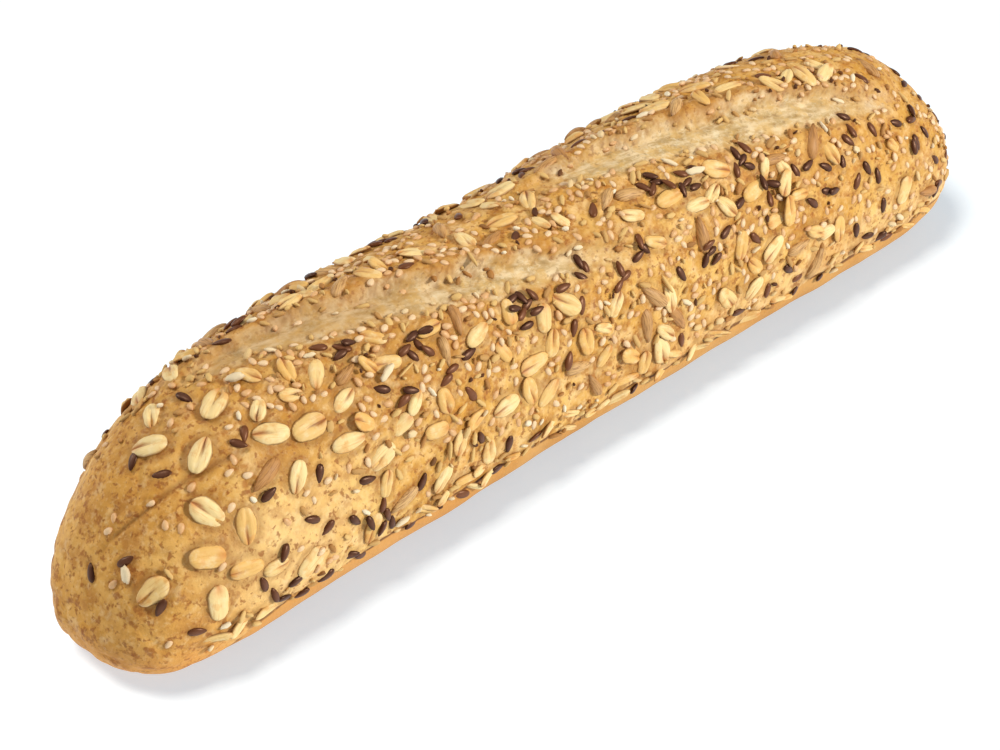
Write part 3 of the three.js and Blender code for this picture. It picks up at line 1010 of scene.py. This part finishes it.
def topping_bed(points, laid):
    """For each point, how far out it lies on its nearest topping's oval: 1 at the rim."""
    tree = nearest_among(laid)
    frames = [plane_axes(spot["normal"], spot["turn"]) for spot in laid]
    outness = np.full(len(points), float(FAR_OFF))
    for i, point in enumerate(points):
        for _, index, distance in tree.find_n(Vector(point), TOPPINGS_NEAR):
            spot = laid[index]
            kind = spot["kind"]
            if distance > kind["length"]:
                continue
            lengthwise, sideways = frames[index]
            offset = (point - spot["centre"]) / spot["size"]
            out = math.hypot(
                offset @ lengthwise / (kind["length"] / 2), offset @ sideways / (kind["width"] / 2)
            )
            outness[i] = min(outness[i], out)
    return outness


def build_crust(groups):
    """A sphere whose poles lie at the loaf's tips, each vertex moved to its place on the crust."""
    deselect_all()
    bpy.ops.mesh.primitive_uv_sphere_add(
        segments=CRUST_COLUMNS, ring_count=CRUST_RINGS, radius=1, rotation=(0, math.pi / 2, 0)
    )
    crust = bpy.context.object
    crust.name = "crust"
    bpy.ops.object.transform_apply(rotation=True)
    count = len(crust.data.vertices)
    ball = np.empty(count * 3)
    crust.data.vertices.foreach_get("co", ball)
    ball = ball.reshape(-1, 3)

    latitude = np.arcsin(np.clip(ball[:, 0], -1, 1))
    place = np.sin(latitude - MIDDLE_CROWDING * np.sin(2 * latitude))
    angle = np.arctan2(ball[:, 2], ball[:, 1])
    angle = angle - CROWN_CROWDING * np.sin(angle - CROWDED_ANGLE * DEGREE)
    angle = (angle + math.pi / 2) % (2 * math.pi) - math.pi / 2
    base = crust_points(place, angle)
    normals = crust_normals(place, angle)
    relief, marks, score_map = crust_relief(base, angle)
    out = topping_bed(base, [spot for group in groups.values() for spot in group])
    # Painted contact shadow round each topping, kept off the foot.
    marks["bed"] = banded(out, BED_SHADE) * (1 - marks["foot"])
    bedding = banded(out, BED_RISE) - banded(out, BED_GROOVE)
    points = base + normals * (relief + bedding)[:, None]
    points[:, 2] = np.maximum(points[:, 2], 0)

    crust.data.vertices.foreach_set("co", (points * MM).ravel())
    set_attributes(crust.data, marks)
    set_uv(crust.data, "score_map", score_map)
    bpy.ops.object.shade_smooth()
    return crust


def set_attributes(mesh, values):
    for name, numbers in values.items():
        layer = mesh.attributes.new(name, "FLOAT", "POINT")
        layer.data.foreach_set("value", np.asarray(numbers, np.float32))


def set_uv(mesh, name, vertex_uv):
    for old in list(mesh.uv_layers):
        mesh.uv_layers.remove(old)
    layer = mesh.uv_layers.new(name=name)
    corners = np.empty(len(mesh.loops), np.int32)
    mesh.loops.foreach_get("vertex_index", corners)
    layer.data.foreach_set("uv", np.asarray(vertex_uv, np.float32)[corners].ravel())


# ---- Patterns for the toppings: each is modelled once, 2 units long and wide, and copied ----

SHADED = ("groove", "rim", "tip", "crest")

# Oat flakes by how deep the crease is, their curl, twist, wander and slimness.
OAT_SHAPES = [
    (0.75, 0.15, 0.2, 0.3, 0.86), (0.6, -0.1, -0.25, 1.9, 0.78), (0.85, 0.1, 0.1, 3.3, 0.95),
    (0.03, 0.2, 0.2, 4.4, 0.9), (0.35, 0.25, -0.3, 5.2, 0.72), (0.7, -0.15, 0.3, 2.6, 0.82),
    (0.12, 0.1, -0.1, 0.9, 0.7), (0.5, 0.3, 0.35, 3.9, 0.76),
]

# An oat flake, in shares of its half length, half width and thickness: how its outline and its
# thickness round off, as (power, root), its waves as (height, count), and its crease and halves.
FLAKE_OUTLINE = (2.4, 2)
FLAKE_ENDING = (4, 1 / 0.55)
FLAKE_TOP = (2.4, 1 / 0.6)
FLAKE_UNDERSIDE = (2, 2)
FLAKE_BELLY = 0.35
FLAKE_THINNEST = 0.04
FLAKE_LOPSIDED = 0.1
FLAKE_RIPPLES = (0.05, 4)
FLAKE_NICKS = (0.03, 9)
CURL_MIDDLE = 0.3
CREASE_WANDER = (0.08, 2.2)
CREASE_SPREAD = 0.16
CREASE_OPENING = (0.7, -0.6)
CREASE_LEAST = 0.25
CREASED = (0.05, 0.5)
PUFFED_HALF = (0.5, 0.3, 0.3)
BETWEEN_PUFFS = 0.8
TOAST_AND_SHADE_SIDES = (0.88, 1.0)
TOAST_AND_SHADE_ENDS = (0.95, 1.0)
GERM_END = (0.2, 0.95)
GERM_WIDTHS = (0.25, 0.6)

# A seed's drop, the tones at its two ends, the painted highlight along its crest, and its underside,
# darker partly as toasting and partly as painted shade.
SEED_NARROWING = 1.5
SEED_BEND = 0.08
RIDGE_SPREAD = 0.25
POINTED_END = (0.6, 0.98)
ROUND_END = (0.85, 1.0)
ROUND_END_TONE = 0.5
CREST_WIDTH = 0.4
CREST_LENGTH = 0.65
UNDERSIDE = (0.15, -0.1)

# A chip's outline as waves round it, and how its top slopes to one side.
SHARD_OVAL = (0.18, 2)
SHARD_CORNERS = (0.1, 5)
SHARD_WEDGE = (0.5, 0.4)
SHARD_BELLY = 0.5

# How far pieces of a kind differ in thickness, and how far their colour patterns are moved apart.
THICKNESS_RANGE = (0.85, 1.15)
PATTERN_SHIFT = 5


def long_ball(columns, rings):
    """A ball whose poles are turned in edit mode to lie along X, the piece's length."""
    deselect_all()
    bpy.ops.mesh.primitive_uv_sphere_add(segments=columns, ring_count=rings, radius=1)
    bpy.ops.object.mode_set(mode="EDIT")
    bpy.ops.mesh.select_all(action="SELECT")
    bpy.ops.transform.rotate(value=math.pi / 2, orient_axis="Y", center_override=(0, 0, 0))
    bpy.ops.object.mode_set(mode="OBJECT")
    return bpy.context.object


def take_pattern(ball, shape):
    """Moves the ball's vertices by shape, and returns them with their faces and shading marks."""
    mesh = ball.data
    points = np.array([vertex.co for vertex in mesh.vertices])
    faces = [tuple(polygon.vertices) for polygon in mesh.polygons]
    marks = {name: np.zeros(len(points)) for name in SHADED}
    bpy.data.objects.remove(ball)
    points, marks = shape(points, marks)
    return {
        "points": points, "faces": faces, "marks": marks, "length_map": points[:, :2] / 2 + 0.5,
    }


def oat_pattern(crease, curl, twist, phase, slim):
    """A rolled oat: a flat oval flake whose two puffed halves meet in a crease, which is deepest
    towards the germ's end."""
    def shape(points, marks):
        x, y, z = points.T
        ring = np.maximum(np.hypot(y, z), NARROWEST)
        side = np.clip(y / ring, -1, 1)
        upper = z > -1e-4
        side = np.where(upper, np.sign(side) * np.abs(side) ** 2, side)
        oval = round_off(x, FLAKE_OUTLINE) * (1 + FLAKE_LOPSIDED * x * math.sin(phase))
        ragged = 1 + wave(x, FLAKE_RIPPLES, phase) + wave(x * np.sign(y), FLAKE_NICKS, 2 * phase)
        ending = round_off(x, FLAKE_ENDING)
        open_end = mix(CREASE_LEAST, 1.0, smooth_step(*CREASE_OPENING, x))
        valley = bell(side - wave(x, CREASE_WANDER, phase), CREASE_SPREAD)
        puff = BETWEEN_PUFFS + banded(np.abs(side), PUFFED_HALF)
        top = round_off(side, FLAKE_TOP) * ending * puff
        top = np.maximum(top - crease * open_end * valley * ending, FLAKE_THINNEST)
        under = -FLAKE_BELLY * round_off(side, FLAKE_UNDERSIDE) * ending
        raised = np.where(upper, top, under)
        width = side * oval * ragged
        raised = raised + curl * (x**2 - CURL_MIDDLE) + twist * x * width
        marks["groove"] = valley * open_end * smooth_step(*CREASED, crease) * upper
        # The sides, ends and underside: darker partly as toasting and partly as painted shade.
        sides = smooth_step(*TOAST_AND_SHADE_SIDES, np.abs(side))
        ends = smooth_step(*TOAST_AND_SHADE_ENDS, np.abs(x))
        marks["rim"] = np.maximum(~upper, np.maximum(sides, ends))
        germ_width = mix(*GERM_WIDTHS, x * -0.5 + 0.5)
        marks["tip"] = smooth_step(*GERM_END, -x) * bell(side, germ_width) * upper
        return np.stack([x, width * slim, raised], axis=-1), marks
    return take_pattern(long_ball(16, 12), shape)


def seed_pattern(columns, rings, phase, point, ridge=0.0):
    """A seed: a plump drop, pointed at one end and round at the other."""
    def shape(points, marks):
        x, y, z = points.T
        narrowing = 1 - point * (x * 0.5 + 0.5) ** SEED_NARROWING
        bend = SEED_BEND * math.sin(phase) * (1 - x**2)
        ridged = 1 + ridge * bell(y, RIDGE_SPREAD) * (z > 0)
        marks["tip"] = smooth_step(*POINTED_END, x) + ROUND_END_TONE * smooth_step(*ROUND_END, -x)
        # Painted highlight along the crest.
        marks["crest"] = bell(y, CREST_WIDTH) * bell(x, CREST_LENGTH) * (z > 0)
        marks["rim"] = smooth_step(*UNDERSIDE, z)
        return np.stack([x, y * narrowing + bend, z * ridged * narrowing**0.5], axis=-1), marks
    return take_pattern(long_ball(columns, rings), shape)


def chip_pattern(phase):
    """A broken chip of grain: a flat shard with a ragged outline."""
    def shape(points, marks):
        x, y, z = points.T
        turn = np.arctan2(y, x)
        ragged = 1 + wave(turn, SHARD_OVAL, phase) + wave(turn, SHARD_CORNERS, 3 * phase)
        endways, sideways = SHARD_WEDGE
        lean = endways * math.sin(phase * 2) * x + sideways * math.cos(phase * 3) * y
        raised = np.where(z > 0, np.sqrt(np.abs(z)) * (1 + lean), z * SHARD_BELLY)
        marks["rim"] = smooth_step(*UNDERSIDE, z)
        return np.stack([x * ragged, y * ragged, raised], axis=-1), marks
    return take_pattern(long_ball(8, 6), shape)


def joined_pieces(name, spots, patterns, material, sink):
    """One mesh of all the pieces of a kind, each a turned, sized and bedded copy of a pattern."""
    picks = seeded_draws(len(spots) * 7 + 11, len(spots) * 4).reshape(-1, 4)
    points, faces, uv = [], [], []
    marks = {mark: [] for mark in (*SHADED, "tone")}
    start = 0
    for spot, pick in zip(spots, picks):
        pattern = patterns[int(pick[0] * len(patterns))]
        kind = spot["kind"]
        up = spot["up"]
        lengthwise, sideways = plane_axes(up, spot["turn"] + (math.pi if pick[1] < 0.5 else 0))
        local = pattern["points"]
        along = local[:, :1] * kind["length"] * spot["size"] / 2
        across = local[:, 1:2] * kind["width"] * spot["size"] / 2
        thickness = kind["proud"] * mix(*THICKNESS_RANGE, pick[2])
        height = local[:, 2:] * thickness + sink + spot["lift"]
        offset = along * lengthwise + across * sideways
        around = unit(np.cross(spot["normal"], [1, 0, 0]))
        droop = ((offset @ around) ** 2 / (2 * CROWN_RADIUS))[:, None]
        points.append(spot["centre"] + offset + up * height - spot["normal"] * droop)
        faces.extend(tuple(index + start for index in face) for face in pattern["faces"])
        uv.append(pattern["length_map"] + pick[3] * PATTERN_SHIFT)
        for mark in SHADED:
            marks[mark].append(pattern["marks"][mark])
        marks["tone"].append(np.full(len(local), kind.get("tone", pick[3])))
        start += len(local)
    mesh = bpy.data.meshes.new(name)
    mesh.from_pydata(np.concatenate(points) * MM, [], faces)
    piece = placed(name, mesh)
    set_attributes(mesh, {mark: np.concatenate(values) for mark, values in marks.items()})
    set_uv(mesh, "length_map", np.concatenate(uv))
    mesh.materials.append(material)
    mesh.polygons.foreach_set("use_smooth", np.ones(len(mesh.polygons), bool))
    return piece


def build_toppings(groups):
    """One joined piece for each kind: its patterns, its material, how far it stands off the crust
    and its slot, which is listed but not given to the piece."""
    oats = [oat_pattern(*shape) for shape in OAT_SHAPES]
    kernels = [seed_pattern(12, 10, phase, point=0.6, ridge=0.18) for phase in (0.4, 1.6, 4.0)]
    seeds = [seed_pattern(10, 8, phase, point=0.4) for phase in (0.5, 4.2, 3.1)]
    drops = [seed_pattern(8, 6, phase, point=0.4) for phase in (0.5, 4.2)]
    chips = [chip_pattern(phase) for phase in (0.2, 1.1, 2.3, 3.6, 4.9)]
    grain = broken_grain()
    recipe = {
        "oat_flakes": (oats, rolled_oat(), 0.1, "oat"),
        "sunflower_kernels": (kernels, sunflower_skin(), 0.1, "sunflower"),
        "flax_seeds": (seeds, flax_coat(), 0.08, "flax"),
        "sesame_seeds": (drops, sesame_hull(), -0.05, "sesame"),
        "grain_husks": (chips, grain, 0.2, "oat"),
        "grain_chips": (chips, grain, 0.1, "oat"),
    }
    pieces = []
    for name, (patterns, material, sink, slot) in recipe.items():
        piece = joined_pieces(name, groups[name], patterns, material, sink)
        pieces.append(piece)
    return pieces


# ---- Table, lights and camera ----

PHOTO_WIDTH_PX = 1000
SENSOR_WIDTH = 36
FOCAL_LENGTH_PX = 2400
VIEW_AZIMUTH = -42.2
VIEW_ELEVATION = 40.7
VIEW_DISTANCE = 574
VIEW_TARGET = (-11.8, -5.9, 13.5)

SKY_GLOW = 0.3
LAMP_TINT = (1, 0.985, 0.92)
TABLE_SIZE = 14
TABLE_GLOW = 0.49
TABLE_TINT = (0.84, 1.02, 1.17, 1)

# Soft boxes: the way that each lies, its distance, its size and its power in watts.
LOAF_BOXES = {
    "front_box": ((0.45, -0.75, 0.5), 1500, 220, 18),
    "top_box": ((-0.2, 0.28, 1.0), 1500, 450, 6.5),
    "back_box": ((-0.4, 0.8, 0.55), 1500, 450, 6.0),
}
TABLE_BOX = ((-0.33, 0.12, 1.0), 4000, 1250, 122)


def view_back():
    azimuth, elevation = VIEW_AZIMUTH * DEGREE, VIEW_ELEVATION * DEGREE
    return Vector((
        math.sin(azimuth) * math.cos(elevation),
        -math.cos(azimuth) * math.cos(elevation),
        math.sin(elevation),
    ))


def place_camera():
    data = bpy.data.cameras.new("camera")
    data.sensor_width = SENSOR_WIDTH
    data.lens = FOCAL_LENGTH_PX / PHOTO_WIDTH_PX * SENSOR_WIDTH
    data.clip_start = 0.01
    camera = placed("camera", data)
    back = view_back()
    camera.location = (Vector(VIEW_TARGET) + back * VIEW_DISTANCE) * MM
    camera.rotation_euler = back.to_track_quat("Z", "Y").to_euler()
    bpy.context.scene.camera = camera


def soft_light(name, box, lit_pieces):
    """A square soft box that shines towards the loaf's middle, on some pieces only."""
    towards, distance, size, power = box
    data = bpy.data.lights.new(name, "AREA")
    data.shape = "SQUARE"
    data.size = size * MM
    data.energy = power
    data.color = LAMP_TINT
    light = placed(name, data)
    direction = Vector(towards).normalized()
    light.location = direction * distance * MM
    light.rotation_euler = direction.to_track_quat("Z", "Y").to_euler()
    lit = bpy.data.collections.new(name + "_lights")
    for piece in lit_pieces:
        lit.objects.link(piece)
    light.light_linking.receiver_collection = lit


def light_scene(loaf_pieces, table):
    world = bpy.data.worlds.new("studio")
    bpy.context.scene.world = world
    world.use_nodes = True
    background = world.node_tree.nodes["Background"]
    background.inputs["Color"].default_value = (1, 1, 1, 1)
    background.inputs["Strength"].default_value = SKY_GLOW
    for name, box in LOAF_BOXES.items():
        soft_light(name, box, loaf_pieces)
    soft_light("table_box", TABLE_BOX, [table])
    bpy.context.scene.view_settings.view_transform = "Standard"
    bpy.context.scene.view_settings.look = "None"


def build_table():
    deselect_all()
    bpy.ops.mesh.primitive_plane_add(size=TABLE_SIZE)
    table = bpy.context.object
    table.name = "table"
    table.data.materials.append(pale_table())
    return table


# ---- The scene ----

toppings = lay_toppings()
crust_piece = build_crust(toppings)
crust_piece.data.materials.append(baked_crust())
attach(crust_piece, "root")
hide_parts("loaf")
topping_pieces = build_toppings(toppings)
for topping in topping_pieces:
    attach(topping, "root")
light_scene([crust_piece, *topping_pieces], build_table())
place_camera()
